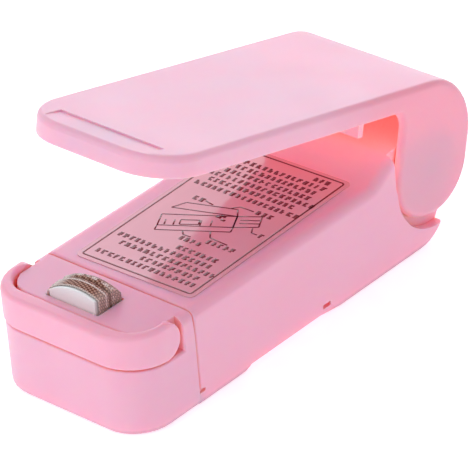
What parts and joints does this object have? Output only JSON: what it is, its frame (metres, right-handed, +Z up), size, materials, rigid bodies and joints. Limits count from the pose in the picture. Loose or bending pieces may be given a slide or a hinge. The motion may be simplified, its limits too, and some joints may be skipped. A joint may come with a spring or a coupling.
{
  "type": "mini bag sealer",
  "caption": "Palm-sized battery bag sealer: a sprung lever hinged over a flat base, with a cloth-covered heated head and a swinging lock ring in its nose",
  "frame": {"origin": "bounding-box bottom centre", "axes": "+X right seen from the nose, +Y from the nose towards the hinge, +Z up"},
  "size_m": [0.0342, 0.0896, 0.0479],
  "materials": {
    "pink_abs": "moulded, slightly translucent",
    "light_pink_abs": "moulded, slightly translucent",
    "silicone": "matt pad",
    "white_resin": "heat-resistant moulding",
    "brown_glass_cloth": "coated woven glass cloth",
    "nickel_strip": "plated strip",
    "black_plastic": "moulded",
    "spring_steel": "drawn wire and rod",
    "brass_strip": "rolled strip",
    "red_lead": "insulated wire",
    "black_lead": "insulated wire",
    "printed_film": "clear film with pale print",
    "cell_sleeve": "plain shrink sleeve"
  },
  "bodies": {
    "base": {"base_shell": "pink_abs", "nose_cover": "pink_abs", "heater_bracket": "black_plastic", "heater_spring_left": "spring_steel", "heater_spring_right": "spring_steel", "switch_leaf_lower": "brass_strip", "switch_leaf_upper": "brass_strip", "lead_wire_left": "red_lead", "lead_wire_right": "black_lead", "label_film": "printed_film", "battery_left": "cell_sleeve", "battery_right": "cell_sleeve", "contact_plate_left": "nickel_strip", "contact_plate_right": "nickel_strip", "contact_bridge": "nickel_strip", "contact_spring_front": "spring_steel", "contact_spring_rear": "spring_steel", "screw_left": "spring_steel", "screw_right": "spring_steel", "hinge_pin": "spring_steel", "return_spring": "spring_steel"},
    "lever": {"lever_shell": "light_pink_abs", "press_pad": "silicone"},
    "lock_ring": {"lock_ring": "pink_abs"},
    "heater_head": {"heater_holder": "white_resin", "heater_cloth": "brown_glass_cloth", "heater_ribbon_front": "nickel_strip", "heater_ribbon_rear": "nickel_strip"},
    "battery_door": {"battery_door": "pink_abs"}
  },
  "joints": [
    {"name": "lever_hinge", "type": "hinge", "parent": "base", "child": "lever", "pos_m": [0, 0.03341, 0.0148], "axis": [1, 0, 0], "range_deg": [0, 17.5], "stiffness_Nm_per_rad": 0.06, "springref_deg": -11.46, "deforming": ["return_spring"]},
    {"name": "ring_pivot", "type": "hinge", "parent": "base", "child": "lock_ring", "pos_m": [0, -0.03659, 0.016], "axis": [-1, 0, 0], "range_deg": [0, 24]},
    {"name": "heater_press", "type": "slide", "parent": "base", "child": "heater_head", "axis": [0, 0, -1], "range_m": [0, 0.0012], "stiffness_N_per_m": 400, "springref_m": -0.001, "deforming": ["heater_spring_left", "heater_spring_right"]},
    {"name": "door_release", "type": "slide", "parent": "base", "child": "battery_door", "axis": [0, 0, -1], "range_m": [0, 0.012]}
  ]
}
